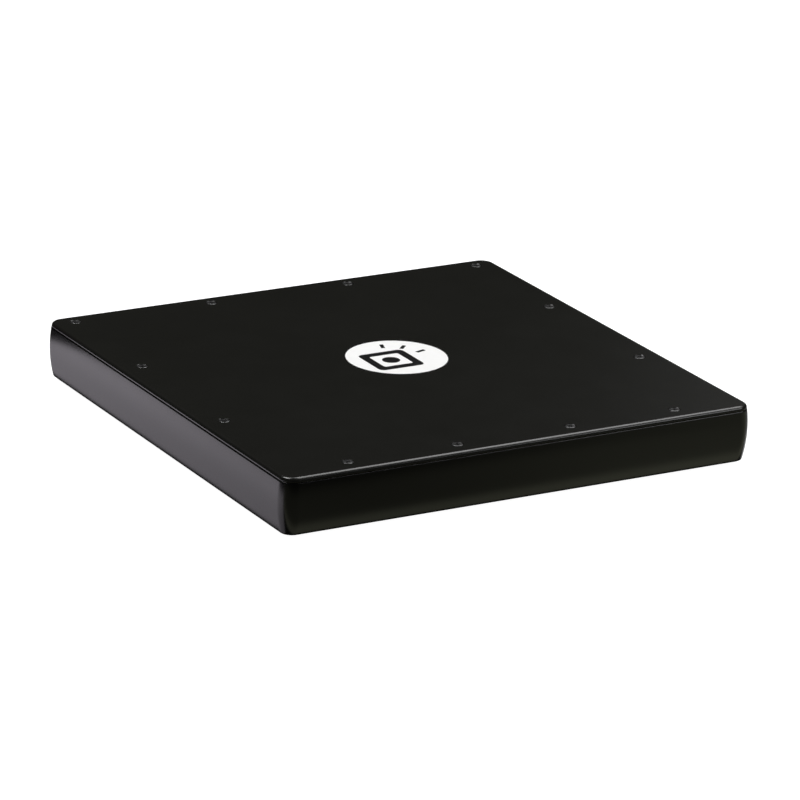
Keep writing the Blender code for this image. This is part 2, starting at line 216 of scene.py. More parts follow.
def lacquer(name, dark, light, rough, along):
    """Sprayed black lacquer: slight orange peel, the wood's grain showing through, uneven gloss."""
    made = Finish(name, dark, rough)
    scale = [55.0, 55.0, 55.0]
    scale[along] = 5.0
    fibres = made.noise(7.0, 5.0, 0.6, made.stretched(tuple(scale)), 0.6)
    cloud = made.noise(14.0, 2.0)
    made.tint(cloud, 0.3, 0.7, dark, light)
    mottle = made.combine(made.noise(38.0, 3.0), made.noise(900.0, 2.0, 0.6))
    made.roughness(made.span(mottle, rough - LACQUER_SPREAD, rough + LACQUER_SPREAD, 0.6, 1.4))
    made.bump(made.noise(420.0, 2.0, 0.4), LACQUER_RELIEF)
    made.bump(fibres, LACQUER_RELIEF)
    return made.material


def birch(name, along):
    """Raw planed birch, whose grain runs along one axis."""
    pale, deep = (0.66, 0.49, 0.31), (0.47, 0.31, 0.17)
    made = Finish(name, pale, 0.62)
    scale = [60.0, 60.0, 60.0]
    scale[along] = 3.0
    place = made.stretched(tuple(scale))
    figure = made.noise(1.6, 4.0, 0.6, place, 1.2)
    pores = made.noise(11.0, 3.0, 0.7, place)
    tone = made.blend(made.span(figure, 0.0, 1.0, 0.3, 0.72), pale, deep)
    fleck = made.span(pores, 0.0, 0.55, 0.56, 0.7)
    made.colour(made.blend(fleck, tone, (0.30, 0.19, 0.10)))
    made.roughness(made.span(figure, 0.52, 0.72))
    made.bump(pores, 0.00012, 0.7)
    return made.material


def plywood_edge(name, bottom, thickness, plies):
    """The cut edge of plywood: plies by height, in turn along and across the grain."""
    made = Finish(name, (0.5, 0.35, 0.2), 0.7)
    height = made.combine(made.axis("Z"), bottom, "SUBTRACT")
    ply = made.combine(height, plies / thickness, "MULTIPLY")
    level = made.combine(ply, made.noise(60.0))
    turn = made.combine(made.combine(level, 2.0, "MODULO"), 1.0, "GREATER_THAN")
    fibres = made.noise(900.0, 3.0, 0.6, made.stretched((1.0, 1.0, 0.25)))
    end_grain = made.blend(fibres, (0.26, 0.15, 0.07), (0.38, 0.24, 0.12))
    long_grain = made.blend(fibres, (0.50, 0.35, 0.20), (0.68, 0.51, 0.32))
    made.colour(made.blend(turn, end_grain, long_grain))
    made.roughness(made.span(fibres, 0.6, 0.8))
    made.bump(fibres, 0.0001, 0.6)
    return made.material


def metal(name, colour, worn, rough, spread, scratch):
    made = Finish(name, colour, rough, Metallic=1.0)
    streaks = made.noise(60.0, 4.0, 0.6, made.stretched((40.0, 40.0, 6.0)))
    specks = made.noise(2400.0, 2.0, 0.6)
    made.tint(made.combine(streaks, specks, "MULTIPLY"), 0.1, 0.45, colour, worn)
    made.roughness(made.span(streaks, rough - spread, rough + spread, 0.25, 0.75))
    made.bump(specks, scratch)
    return made.material


def black_screw(name):
    """Black phosphated steel under a thin film of oil."""
    made = Finish(name, (0.20, 0.20, 0.20), 0.27, Metallic=0.95)
    grit = made.noise(2600.0, 3.0, 0.6)
    patch = made.noise(500.0, 2.0)
    made.tint(patch, 0.35, 0.7, (0.16, 0.16, 0.162), (0.25, 0.25, 0.25))
    made.roughness(made.span(grit, 0.22, 0.36, 0.3, 0.7))
    made.bump(grit, 0.000008)
    return made.material


def screw_recess_painted_shade(name):
    """The inside of a driver's cross, in a near-black colour that is painted shade, with a faint
    random mottle.
    """
    # Painted shade: the near-black base colour stands in for the shade inside the recess.
    made = Finish(name, (0.010, 0.010, 0.010), 0.62)
    recess_shade_mottle = made.noise(1800.0, 3.0, 0.6)
    made.tint(recess_shade_mottle, 0.35, 0.7, (0.007, 0.007, 0.007), (0.016, 0.015, 0.014))
    made.roughness(made.span(recess_shade_mottle, 0.5, 0.74, 0.3, 0.7))
    made.bump(recess_shade_mottle, 0.00002)
    return made.material


def painted_panel(name):
    """Thinly rolled black paint over plywood, so that the grain still shows."""
    made = Finish(name, (0.014, 0.014, 0.014), 0.6)
    place = made.stretched((6.0, 70.0, 70.0))
    grain = made.noise(5.0, 6.0, 0.65, place, 0.8)
    pores = made.noise(30.0, 3.0, 0.7, place)
    made.tint(grain, 0.35, 0.75, (0.011, 0.011, 0.011), (0.026, 0.025, 0.024))
    made.roughness(made.span(made.combine(grain, made.noise(300.0)), 0.46, 0.72, 0.7, 1.4))
    made.bump(grain, 0.00008, 0.7)
    made.bump(pores, 0.00005, 0.7)
    return made.material


def rubber(name):
    made = Finish(name, (0.020, 0.020, 0.020), 0.8)
    grit = made.noise(1500.0, 3.0, 0.6)
    bloom = made.noise(120.0, 3.0)
    made.tint(bloom, 0.35, 0.75, (0.016, 0.016, 0.016), (0.034, 0.033, 0.032))
    made.roughness(made.span(grit, 0.68, 0.9))
    made.bump(grit, 0.00005)
    return made.material


def felt(name):
    made = Finish(name, (0.035, 0.035, 0.038), 0.95)
    made.set("Sheen Weight", 0.35)
    made.set("Sheen Roughness", 0.6)
    hairs = made.noise(900.0, 6.0, 0.75, distortion=2.5)
    tufts = made.noise(260.0, 3.0)
    made.tint(hairs, 0.3, 0.7, (0.018, 0.018, 0.020), (0.075, 0.075, 0.080))
    made.bump(hairs, 0.0003)
    made.bump(tufts, 0.0003, 0.5)
    return made.material


def print_finish(name, colour, other, rough):
    """Printed film: nearly even, with the faint pull of the ink."""
    made = Finish(name, colour, rough)
    cloud = made.noise(220.0, 3.0)
    made.colour(made.blend(cloud, colour, other))
    made.roughness(made.span(made.noise(900.0, 2.0), rough - 0.05, rough + 0.05, 0.3, 0.7))
    made.bump(made.noise(1400.0, 2.0), 0.00001)
    return made.material


WALL_TONES = (0.0022, 0.0022, 0.0020), (0.0036, 0.0036, 0.0033)
WALL_X = lacquer("wall_lacquer_x", *WALL_TONES, 0.24, 0)
WALL_Y = lacquer("wall_lacquer_y", *WALL_TONES, 0.24, 1)
TAPA_TONES = (0.0101, 0.0101, 0.0086), (0.0111, 0.0111, 0.0095)
TAPA_BLACK = lacquer("tapa_lacquer_film", *TAPA_TONES, 0.22, 1)
BIRCH_X = birch("birch_along_x", 0)
BIRCH_Y = birch("birch_along_y", 1)
BIRCH_Z = birch("birch_upright", 2)
PANEL_PAINT = painted_panel("back_panel_paint")
PANEL_EDGE = plywood_edge("back_panel_plies", panel_low.z, panel_high.z - panel_low.z, 5)
SCREW_BLACK = black_screw("screw_black_oxide")
# Painted shade: a near-black colour for the inside of each screw's cross.
SCREW_RECESS_SHADE = screw_recess_painted_shade("screw_recess_painted_shade")
STEEL = metal("snare_steel", (0.58, 0.57, 0.55), (0.42, 0.41, 0.39), 0.26, 0.08, 0.00001)
SOLDER = metal("solder", (0.50, 0.50, 0.49), (0.36, 0.36, 0.35), 0.42, 0.08, 0.00005)
RUBBER = rubber("foot_rubber_moulded")
FELT = felt("damper_felt")
PRINT_WHITE = print_finish("badge_white", (0.90, 0.90, 0.89), (0.93, 0.93, 0.92), 0.42)
PRINT_BLACK = print_finish("badge_ink", (0.0025, 0.0025, 0.0025), (0.0035, 0.0035, 0.0035), 0.34)


# ------------------------------------------------------------------ building
def add_piece(name, mesh, replaces, location=(0, 0, 0), turn=(0, 0, 0)):
    thing = bpy.data.objects.new(name, mesh)
    scene.collection.objects.link(thing)
    thing.location = location
    thing.rotation_euler = turn
    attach(thing, BODY)
    if replaces:
        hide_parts(*replaces)
    return thing


def as_mesh(name, shape, *materials):
    bmesh.ops.recalc_face_normals(shape, faces=shape.faces[:])
    mesh = bpy.data.meshes.new(name)
    shape.to_mesh(mesh)
    shape.free()
    for material in materials:
        mesh.materials.append(material)
    return mesh


def circle(radius, height, sides):
    angles = [tau * i / sides for i in range(sides)]
    return [(radius * cos(angle), radius * sin(angle), height) for angle in angles]


def rounded_square(half, radius, height, steps):
    """Anticlockwise seen from above."""
    centre = half - radius
    points = []
    for corner in range(4):
        for step in range(steps + 1):
            angle = QUARTER_TURN * (corner + step / steps)
            side_x = 1 if corner in (0, 3) else -1
            side_y = 1 if corner in (0, 1) else -1
            x = side_x * centre + radius * cos(angle)
            y = side_y * centre + radius * sin(angle)
            points.append((x, y, height))
    return points


def skin(shape, rings, matrix=None, closed=False, material=0):
    """Adds a body that runs through the rings. A closed one runs back to the first ring."""
    placed = matrix or Matrix.Identity(4)
    loops = [[shape.verts.new(placed @ Vector(point)) for point in ring] for ring in rings]
    pairs = list(zip(loops, loops[1:]))
    if closed:
        pairs.append((loops[-1], loops[0]))
    made = []
    for low, high in pairs:
        for i in range(len(low)):
            j = (i + 1) % len(low)
            made.append(shape.faces.new((low[i], low[j], high[j], high[i])))
    if not closed:
        made.append(shape.faces.new(list(reversed(loops[0]))))
        made.append(shape.faces.new(loops[-1]))
    for face in made:
        face.material_index = material
    return made


def scratch(name, mesh):
    thing = bpy.data.objects.new(name, mesh)
    scene.collection.objects.link(thing)
    return thing


def carved(name, mesh, cuts):
    """The mesh with the cutter meshes taken away, and nothing left of the helpers."""
    body = scratch(name + "_body", mesh)
    guides = []
    for number, cut in enumerate(cuts):
        guide = scratch(f"{name}_cut_{number}", cut)
        guides.append(guide)
        modifier = body.modifiers.new(guide.name, "BOOLEAN")
        modifier.operation = "DIFFERENCE"
        modifier.solver = "EXACT"
        modifier.object = guide
    graph = bpy.context.evaluated_depsgraph_get()
    made = bpy.data.meshes.new_from_object(body.evaluated_get(graph))
    made.name = name
    for thing in [body, *guides]:
        bpy.data.objects.remove(thing)
    return made


def smooth(mesh, angle=0.6):
    mesh.shade_smooth()
    mesh.set_sharp_from_angle(angle=angle)


def weigh_normals(thing):
    """Keeps large flat faces flat beside small rounded edges."""
    modifier = thing.modifiers.new("weighted_normals", "WEIGHTED_NORMAL")
    modifier.keep_sharp = True
    modifier.weight = 100


def repaint(name, material):
    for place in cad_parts[name].material_slots:
        place.material = material


# ------------------------------------------------------------------ screws
def cross(arm, blade, height):
    points = []
    for quarter in range(4):
        turn = Matrix.Rotation(quarter * QUARTER_TURN, 4, "Z")
        for x, y in ((arm, -blade), (arm, blade), (blade, blade)):
            points.append(tuple(turn @ Vector((x, y, height))))
    return points


def recess():
    """The driver's cross, tapering down, with a broken edge at the head's flat."""
    lip = BROKEN_EDGE
    shape = bmesh.new()
    skin(
        shape,
        [
            cross(RECESS_ARM * RECESS_TAPER, RECESS_BLADE * RECESS_TAPER, -RECESS_DEPTH),
            cross(RECESS_ARM, RECESS_BLADE, -lip),
            cross(RECESS_ARM + lip, RECESS_BLADE + lip, 0.0),
            cross(RECESS_ARM + lip * 2, RECESS_BLADE + lip * 2, lip),
        ],
    )
    mesh = as_mesh("recess", shape)
    # The cross's faces take the second slot, the painted shade of the recess.
    for polygon in mesh.polygons:
        polygon.material_index = 1
    return mesh


def screw_mesh(name, head, shank, length):
    """A countersunk wood screw, its head's flat at height 0 and its point down."""
    sides = 48
    tip = 0.0003
    point_length = 2.2 * shank
    plain_shank = 0.0004
    cone = shank - head - SCREW_RIM
    rings = [circle(tip, -length, sides)]
    steps_a_turn = 8
    step = THREAD_PITCH / steps_a_turn
    start = -length + step
    for number in range(floor((cone - plain_shank - start) / step)):
        height = start + number * step
        body = min(1.0, (height + length) / point_length)
        root = tip + (shank - THREAD_DEPTH - tip) * body
        ring = []
        for i in range(sides):
            angle = tau * i / sides
            phase = (height / THREAD_PITCH - i / sides) % 1.0
            crest = max(0.0, 1.0 - abs(phase - 0.5) * 4.0)
            radius = root + THREAD_DEPTH * crest * min(1.0, body * 1.2)
            ring.append((radius * cos(angle), radius * sin(angle), height))
        rings.append(ring)
    rings.append(circle(shank - THREAD_DEPTH * 0.5, cone - plain_shank / 2, sides))
    rings.append(circle(shank, cone, sides))
    under_edge = 0.00008
    rings.append(circle(head - under_edge, -SCREW_RIM - under_edge, sides))
    rings.append(circle(head, -SCREW_RIM, sides))
    rounding = 0.00028
    steps = 3
    for number in range(steps + 1):
        angle = QUARTER_TURN * number / steps
        radius = head - rounding * (1 - cos(angle))
        rings.append(circle(radius, -rounding * (1 - sin(angle)), sides))
    shape = bmesh.new()
    skin(shape, rings)
    blank = as_mesh(name, shape, SCREW_BLACK, SCREW_RECESS_SHADE)
    mesh = carved(name, blank, [recess()])
    smooth(mesh, 0.7)
    return mesh


def screw_room(head, shank, length, above, matrix, shape, lip=BROKEN_EDGE):
    """The countersunk hole round a screw, its edge slightly softened at the face above it."""
    wide = head + HEAD_CLEARANCE
    narrow = shank + GAP
    sides = 48
    skin(
        shape,
        [
            circle(narrow, -length - GAP, sides),
            circle(narrow, shank - head - SCREW_RIM - GAP, sides),
            circle(wide, -SCREW_RIM, sides),
            circle(wide, above - lip, sides),
            circle(wide + lip, above, sides),
            circle(wide + lip * 2, above + lip, sides),
        ],
        matrix,
    )


def middle(node):
    low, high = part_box(node)
    return (low + high) / 2


def places(prefix, height):
    """Where the screws of one kind are, in the order of their numbers."""
    found = {}
    for name in sorted(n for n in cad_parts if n.startswith(prefix)):
        centre = middle(name)
        found[name] = Vector((centre.x, centre.y, height(name)))
    return found


# Each screw's head radius, shank radius and length.
TAPA_SCREW = (0.0039, 0.0018, 0.018)
BACK_SCREW = (0.0035, 0.0016, 0.014)
FOOT_SCREW = (0.0035, 0.0016, 0.016)

tapa_screws = places("tapa_screw_", lambda name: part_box(name)[1].z)
back_screws = places("back_screw_", lambda name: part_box(name)[0].z)
foot_screws = places("foot_screw_", lambda name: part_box(name)[0].z)


def add_screws():
    """Every screw of a kind shares one mesh, and each stops at a turn of its own."""
    kinds = (
        ("tapa_screw_mesh", TAPA_SCREW, tapa_screws, 0),
        ("back_screw_mesh", BACK_SCREW, back_screws, pi),
        ("foot_screw_mesh", FOOT_SCREW, foot_screws, pi),
    )
    for title, sizes, found, tilt in kinds:
        mesh = screw_mesh(title, *sizes)
        for number, (name, point) in enumerate(found.items(), 1):
            turn = (tilt, 0, number * RECESS_TURN)
            add_piece("fine_" + name, mesh, [name], point, turn)


# ------------------------------------------------------------------ the walls
def wall_section():
    """(inset, height, normal out, normal up) of the outer face, from its bottom edge up."""
    below = BULGE_HEIGHT - WALL_BOTTOM_ROUND
    above = (WALL_TOP - WALL_BOTTOM) - BULGE_HEIGHT - WALL_TOP_ROUND
    inner_low = BULGE_RADIUS - WALL_BOTTOM_ROUND
    inner_high = BULGE_RADIUS - WALL_TOP_ROUND
    low_angle = -asin(below / inner_low)
    high_angle = asin(above / inner_high)
    low_inset = BULGE_RADIUS - sqrt(inner_low**2 - below**2)
    high_inset = BULGE_RADIUS - sqrt(inner_high**2 - above**2)
    top = WALL_TOP - WALL_BOTTOM - WALL_TOP_ROUND
    arcs = (
        (low_inset, WALL_BOTTOM_ROUND, WALL_BOTTOM_ROUND, -QUARTER_TURN, low_angle, 8),
        (BULGE_RADIUS, BULGE_HEIGHT, BULGE_RADIUS, low_angle, high_angle, 16),
        (high_inset, top, WALL_TOP_ROUND, high_angle, QUARTER_TURN, 6),
    )
    section = []
    for inset, height, radius, first, last, steps in arcs:
        for step in range(steps + 1):
            angle = first + (last - first) * step / steps
            out, up = cos(angle), sin(angle)
            point = (inset - radius * out, height + radius * up, out, up)
            if not section or abs(point[1] - section[-1][1]) > SAME_PLACE:
                section.append(point)
    return section


def wall_mesh(name, inner, quarter):
    """One wall from mitre to mitre, on a grid of section rows and stations along it."""
    corner = HALF - CORNER_RADIUS
    arc_steps = 14
    straight_steps = 12
    stations = []
    for step in range(arc_steps + 1):
        share = step / arc_steps
        direction = radians(225) + radians(45) * share
        inner_x = -WALL_FACE + (WALL_FACE - corner) * share
        stations.append((-corner, direction, inner_x))
    for step in range(1, straight_steps):
        x = -corner + 2 * corner * step / straight_steps
        stations.append((x, radians(270), x))
    for step in range(arc_steps + 1):
        share = 1 - step / arc_steps
        direction = radians(315) - radians(45) * share
        stations.append((corner, direction, WALL_FACE - (WALL_FACE - corner) * share))
    section = wall_section()
    turn = Matrix.Rotation(quarter * QUARTER_TURN, 4, "Z")

    shape = bmesh.new()
    columns, normals = [], []
    for centre, direction, inner_x in stations:
        column, facing = [], []
        for inset, height, out, up in section:
            radius = CORNER_RADIUS - inset
            x = centre + radius * cos(direction)
            y = -corner + radius * sin(direction)
            column.append(shape.verts.new(turn @ Vector((x, y, WALL_BOTTOM + height))))
            facing.append(turn @ Vector((out * cos(direction), out * sin(direction), up)))
        for height in (WALL_TOP, WALL_BOTTOM):
            column.append(shape.verts.new(turn @ Vector((inner_x, -WALL_FACE, height))))
        columns.append(column)
        normals.append(facing)
    rows = len(section)
    shape.verts.index_update()
    facing_of = {}
    for column, facing in zip(columns, normals):
        for vert, normal in zip(column, facing):
            facing_of[vert.index] = normal.normalized()
    outside = set()
    for left, right in zip(columns, columns[1:]):
        for row in range(rows + 2):
            after = (row + 1) % (rows + 2)
            face = shape.faces.new((left[row], right[row], right[after], left[after]))
            if row < rows - 1:
                outside.add(face)
            face.material_index = 1 if row == rows else 0
    for column in (columns[0], list(reversed(columns[-1]))):
        face = shape.faces.new(column)
        face.material_index = 1
    shape.faces.index_update()
    outer = {face.index for face in outside}
    mesh = bpy.data.meshes.new(name)
    shape.to_mesh(mesh)
    shape.free()
    mesh.shade_smooth()
    split = []
    for polygon in mesh.polygons:
        for index in polygon.vertices:
            split.append(facing_of[index] if polygon.index in outer else polygon.normal)
    mesh.normals_split_custom_set(split)
    mesh.materials.append(WALL_X if quarter % 2 == 0 else WALL_Y)
    mesh.materials.append(inner)
    return mesh


def add_walls():
    for quarter, name in enumerate(("front_wall", "right_wall", "rear_wall", "left_wall")):
        inner = BIRCH_X if quarter % 2 == 0 else BIRCH_Y
        mesh = wall_mesh(name + "_mesh", inner, quarter)
        add_piece("fine_" + name, mesh, [name])


# ------------------------------------------------------------------ the plates
def add_tapa():
    """The playing plate: rounded over above, countersunk for its screws, bare birch underneath."""
    radius = CORNER_RADIUS - (HALF - TAPA_HALF)
    corner_steps = 16
    arris = 0.0003
    part = arris * 0.3
    rings = [
        rounded_square(TAPA_HALF - arris, radius - arris, tapa_low.z, corner_steps),
        rounded_square(TAPA_HALF - part, radius - part, tapa_low.z + part, corner_steps),
    ]
    steps = 14
    for step in range(steps + 1):
        angle = QUARTER_TURN * step / steps
        inset = TAPA_ROUND * (1 - cos(angle))
        height = tapa_high.z - TAPA_ROUND * (1 - sin(angle))
        rings.append(rounded_square(TAPA_HALF - inset, radius - inset, height, corner_steps))
    shape = bmesh.new()
    faces = skin(shape, rings)
    underside = faces[-2]
    underside.material_index = 1
    room = bmesh.new()
    for point in tapa_screws.values():
        screw_room(*TAPA_SCREW, SCREW_SINK, Matrix.Translation(point), room, TAPA_LIP)
    plate = as_mesh("tapa_plate", shape, TAPA_BLACK, BIRCH_Y)
    mesh = carved("tapa_mesh", plate, [as_mesh("tapa_room", room)])
    smooth(mesh, 0.6)
    tapa = add_piece("fine_tapa", mesh, ["tapa"])
    weigh_normals(tapa)


def add_back_panel():
    shape = bmesh.new()
    lip = 0.0003
    half = panel_high.x
    skin(
        shape,
        [
            rounded_square(half - lip, PANEL_CORNER_RADIUS, panel_low.z, 6),
            rounded_square(half, PANEL_CORNER_RADIUS, panel_low.z + lip, 6),
            rounded_square(half, PANEL_CORNER_RADIUS, panel_high.z, 6),
        ],
    )
    panel = as_mesh("panel_plate", shape, PANEL_PAINT, PANEL_EDGE)

    sides = 96
    flare = []
    steps = 6
    for step in range(steps + 1):
        angle = QUARTER_TURN * step / steps
        flare.append((SOUND_HOLE_ROUND * (1 - sin(angle)), SOUND_HOLE_ROUND * (1 - cos(angle))))
    outline = [(SOUND_HOLE_ROUND, panel_low.z - SOUND_HOLE_ROUND)]
    outline += [(out, panel_low.z + up) for out, up in flare]
    outline += [(out, panel_high.z - up) for out, up in reversed(flare)]
    outline.append((SOUND_HOLE_ROUND, panel_high.z + SOUND_HOLE_ROUND))
    hole = bmesh.new()
    rings = [circle(SOUND_HOLE_RADIUS + out, height, sides) for out, height in outline]
    skin(hole, rings, material=1)
    hole_mesh = as_mesh("hole", hole)

    room = bmesh.new()
    for point in back_screws.values():
        screw_room(*BACK_SCREW, SCREW_SINK, Matrix.Translation(point) @ UPSIDE_DOWN, room)
    _, shank, length = FOOT_SCREW
    shank_room = [circle(shank + GAP, height, 24) for height in (-length, length)]
    for point in foot_screws.values():
        skin(room, shank_room, Matrix.Translation(point))
    mesh = carved("back_panel_mesh", panel, [hole_mesh, as_mesh("panel_room", room)])
    level = 0.996
    for polygon in mesh.polygons:
        near_hole = polygon.center.xy.length < SOUND_HOLE_RADIUS + SOUND_HOLE_ROUND
        polygon.material_index = 1 if near_hole and abs(polygon.normal.z) < level else 0
    smooth(mesh, 0.5)
    piece = add_piece("fine_back_panel", mesh, ["back_panel"])
    weigh_normals(piece)


# ------------------------------------------------------------------ the badge
def add_badge():
    """A printed disc with a black rim, and a plain emblem of a drum and three beats on it."""
    centre = (badge_low + badge_high) / 2
    radius = (badge_high.x - badge_low.x) / 2
    bottom = tapa_high.z
    top = bottom + BADGE_FILM
    sides = 128
    shape = bmesh.new()
    rings = [
        circle(radius - 0.00004, bottom, sides),
        circle(radius, bottom + 0.00008, sides),
        circle(radius, top - 0.0001, sides),
        circle(radius - 0.00008, top - 0.00002, sides),
        circle(radius - 0.0002, top, sides),
        circle(radius - BADGE_RIM, top, sides),
    ]
    faces = skin(shape, rings, Matrix.Translation((centre.x, centre.y, 0)))
    for face in faces[:-1]:
        face.material_index = 1
    mesh = as_mesh("badge_mesh", shape, PRINT_WHITE, PRINT_BLACK)
    smooth(mesh, 0.5)
    disc = add_piece("fine_badge", mesh, ["badge"])
    weigh_normals(disc)

    ink = bmesh.new()
    low, high = top - INK_ROOT, top + INK

    def slab(place, outline, hole=None):
        """A flat printed shape, with an optional hole of as many points."""
        if hole is None:
            skin(ink, [[(x, y, z) for x, y, _ in outline] for z in (low, high)], place)
            return
        edges = [(outline, low), (outline, high), (hole, high), (hole, low)]
        skin(ink, [[(x, y, z) for x, y, _ in ring] for ring, z in edges], place, closed=True)

    drum = Matrix.Translation((centre.x - 0.0070, centre.y - 0.0040, 0))
    slab(drum, rounded_square(0.0190, 0.0045, 0, 8), rounded_square(0.0122, 0.0015, 0, 8))
    slab(drum, circle(0.0068, 0, 48))
    half_length, half_width = 0.0042, 0.0015
    corners = ((-1, -1), (1, -1), (1, 1), (-1, 1))
    beat = [(x * half_length, y * half_width, 0) for x, y in corners]
    reach = Matrix.Translation((0.0320, 0, 0))
    for number in range(3):
        turn = Matrix.Rotation(radians(17 + 28 * number), 4, "Z")
        slab(drum @ turn @ reach, beat)
    emblem = as_mesh("badge_emblem_mesh", ink, PRINT_BLACK)
    add_piece("badge_emblem", emblem, [])


# ------------------------------------------------------------------ the feet
def add_feet():
    """Moulded rubber discs with a groove and a countersunk hole."""
    radius = (foot_high.x - foot_low.x) / 2
    top = foot_high.z
    head, shank, _ = FOOT_SCREW
    bore = shank + GAP
    seat = head + HEAD_CLEARANCE
    seat_height = FOOT_SCREW_SINK + SCREW_RIM
    bevel = 0.00025
    profile = [(bore, top), (bore, seat_height + head - shank + GAP), (seat, seat_height)]
    profile += [(seat, bevel), (seat + bevel, 0.0)]
    profile += [(0.0068, 0.0), (0.0070, 0.0002), (0.0071, 0.0006)]
    profile += [(0.0079, 0.0006), (0.0080, 0.0002), (0.0082, 0.0)]
    rounding = 0.001
    steps = 6
    for step in range(steps + 1):
        angle = QUARTER_TURN * step / steps
        profile.append((radius - rounding * (1 - sin(angle)), rounding * (1 - cos(angle))))
    edge = 0.0003
    profile += [(radius, top - edge), (radius - edge, top)]
    shape = bmesh.new()
    skin(shape, [circle(out, height, 64) for out, height in profile], closed=True)
    mesh = as_mesh("foot_mesh", shape, RUBBER)
    smooth(mesh, 0.6)
    for corner in ("front_left", "front_right", "rear_right", "rear_left"):
        name = "foot_" + corner
        centre = middle(name)
        add_piece("fine_" + name, mesh, [name], (centre.x, centre.y, 0))


# ------------------------------------------------------------------ the snares
def coil(shape, start, length):
    """A helical wire that runs from start towards the player."""
    sides = 6
    per_turn = 12
    path_radius = COIL_RADIUS - COIL_WIRE
    count = int(length / COIL_PITCH * per_turn)
    rings = []
    for step in range(count + 1):
        angle = tau * step / per_turn
        y = start.y - length * step / count
        centre = Vector((start.x + path_radius * sin(angle), y, start.z + path_radius * cos(angle)))
        outward = Vector((sin(angle), 0, cos(angle)))
        along = Vector((path_radius * cos(angle), -COIL_PITCH / tau, -path_radius * sin(angle)))
        side = along.normalized().cross(outward)
        ring = []
        for x, y, _ in circle(COIL_WIRE, 0, sides):
            ring.append(tuple(centre + outward * x + side * y))
        rings.append(ring)
    skin(shape, rings)


def strap_mesh(name, centre_x, centre_y, bottom, top):
    """The strap that holds the coils, drilled for its screws."""
    corner, edge = 0.0015, 0.00015
    steps = 6
    outline = []
    for quarter, (side_x, side_y) in enumerate(((1, 1), (-1, 1), (-1, -1), (1, -1))):
        x = side_x * (STRAP_HALF_LENGTH - corner)
        y = side_y * (STRAP_WIDTH / 2 - corner)
        for step in range(steps + 1):
            angle = QUARTER_TURN * (quarter + step / steps)
            outline.append((x, y, corner * cos(angle), corner * sin(angle)))
    rings = []
    levels = ((edge, 0), (0, edge), (0, STRAP_THICKNESS - edge), (edge, STRAP_THICKNESS))
    for inset, height in levels:
        share = 1 - inset / corner
        z = bottom + height
        rings.append([(x + dx * share, y + dy * share, z) for x, y, dx, dy in outline])
    strap = bmesh.new()
    skin(strap, rings, Matrix.Translation((centre_x, centre_y, 0)))
    mesh = as_mesh(name + "_strap", strap, STEEL, SOLDER)

    room = bmesh.new()
    drill = [circle(SNARE_SCREW_ROOM, height, 32) for height in (bottom - 0.002, top)]
    for number in range(1, 5):
        screw = middle(f"snare_screw_{number}")
        if abs(screw.x - centre_x) < STRAP_HALF_LENGTH:
            skin(room, drill, Matrix.Translation((screw.x, screw.y, 0)))
    return carved(name + "_mesh", mesh, [as_mesh("snare_room", room)])


def bead(shape, matrix):
    """A drop of solder, flat below."""
    radius, steps = 0.0017, 6
    tip = 0.00005
    rings = []
    for step in range(steps + 1):
        angle = QUARTER_TURN * step / steps
        rings.append(circle(radius * cos(angle) + tip, radius * sin(angle), 20))
    skin(shape, rings, matrix, material=1)


def add_snares():
    for name in ("snare_set_left", "snare_set_right"):
        low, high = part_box(name)
        centre_x = (low.x + high.x) / 2
        strap_y = high.y - STRAP_WIDTH / 2
        wire_height = high.z - COIL_RADIUS
        mesh = strap_mesh(name, centre_x, strap_y, low.z, high.z)
        whole = bmesh.new()
        whole.from_mesh(mesh)
        back_end = strap_y + STRAP_WIDTH * 0.3
        length = back_end - low.y - 2 * COIL_WIRE
        flattened = Matrix.Diagonal((1, 2.2, 0.62, 1))
        for number in range(WIRE_COUNT):
            x = centre_x + (number - (WIRE_COUNT - 1) / 2) * WIRE_PITCH
            coil(whole, Vector((x, back_end - COIL_WIRE, wire_height)), length)
            place = Matrix.Translation((x, strap_y, low.z + STRAP_THICKNESS))
            bead(whole, place @ flattened)
        whole.to_mesh(mesh)
        whole.free()
        smooth(mesh, 0.9)
        add_piece("fine_" + name, mesh, [name])


# ------------------------------------------------------------------ CAD nodes that stay
def finish_cad_nodes():
    grain = {"front": BIRCH_X, "rear": BIRCH_X, "left": BIRCH_Y, "right": BIRCH_Y}
    for kind in ("tapa_batten_", "back_batten_"):
        for side, material in grain.items():
            repaint(kind + side, material)
    for corner in ("front_left", "front_right", "rear_left", "rear_right"):
        repaint("corner_block_" + corner, BIRCH_Z)
    repaint("snare_bar", BIRCH_X)
    for side in ("left", "right"):
        repaint("damper_" + side, FELT)
    for number in range(1, 5):
        repaint(f"snare_screw_{number}", STEEL)


# ------------------------------------------------------------------ the studio
def add_camera():
    """The view: low, from in front and to the left, with a long lens."""
    target = Vector((-0.0381, -0.0780, tapa_high.z))
    azimuth, elevation, roll = radians(-29.943), radians(19.212), radians(1.964)
    back = Vector((sin(azimuth) * cos(elevation), -cos(azimuth) * cos(elevation), sin(elevation)))
    data = bpy.data.cameras.new("camera")
    data.sensor_width = 36.0
    data.lens = 221.57
    distance = 3.5948
    data.clip_start = 0.1
    data.clip_end = 60.0
    camera = bpy.data.objects.new("camera", data)
    scene.collection.objects.link(camera)
    camera.rotation_mode = "QUATERNION"
    camera.location = target + back * distance
    camera.rotation_quaternion = (-back).to_track_quat("-Z", "Y") @ Quaternion((0, 0, 1), roll)
    scene.camera = camera


def softbox(name, place, target, size, radiance):
    """A rectangular light of an even radiance, facing the target."""
    data = bpy.data.lights.new(name, "AREA")
    data.shape = "RECTANGLE"
    data.size, data.size_y = size
    data.energy = radiance * pi * size[0] * size[1]
    light = bpy.data.objects.new(name, data)
    scene.collection.objects.link(light)
    light.location = place
    light.rotation_mode = "QUATERNION"
    light.rotation_quaternion = (Vector(target) - Vector(place)).to_track_quat("-Z", "Y")
    light.visible_camera = False


